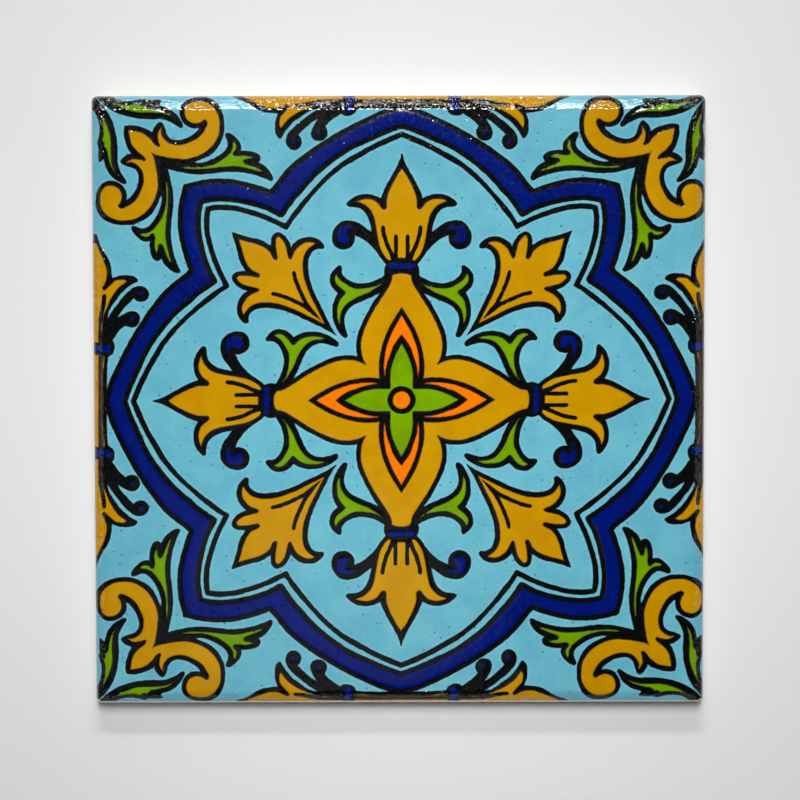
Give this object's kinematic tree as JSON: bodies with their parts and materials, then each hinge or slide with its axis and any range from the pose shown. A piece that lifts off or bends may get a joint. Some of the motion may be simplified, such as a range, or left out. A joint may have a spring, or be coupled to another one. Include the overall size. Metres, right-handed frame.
{
  "type": "mexican tile",
  "caption": "Square glazed earthenware wall tile with a flat printed face, a narrow cushion bevel on all four sides and a keyed back for bedding in mortar.",
  "frame": {"origin": "middle of the back, on the plane that the tile is bedded on", "axes": "+Z out of the glazed face, +Y towards the printed face's upper edge, +X to its right"},
  "size_m": [0.105, 0.105, 0.007],
  "materials": {
    "printed_glaze": "glossy transparent glaze over a printed pattern in pale blue, cobalt, ochre, leaf green and orange with black outlines",
    "clay_body": "matt unglazed buff earthenware, pressed and fired"
  },
  "bodies": {
    "root": {"tile": "printed_glaze"}
  },
  "joints": []
}
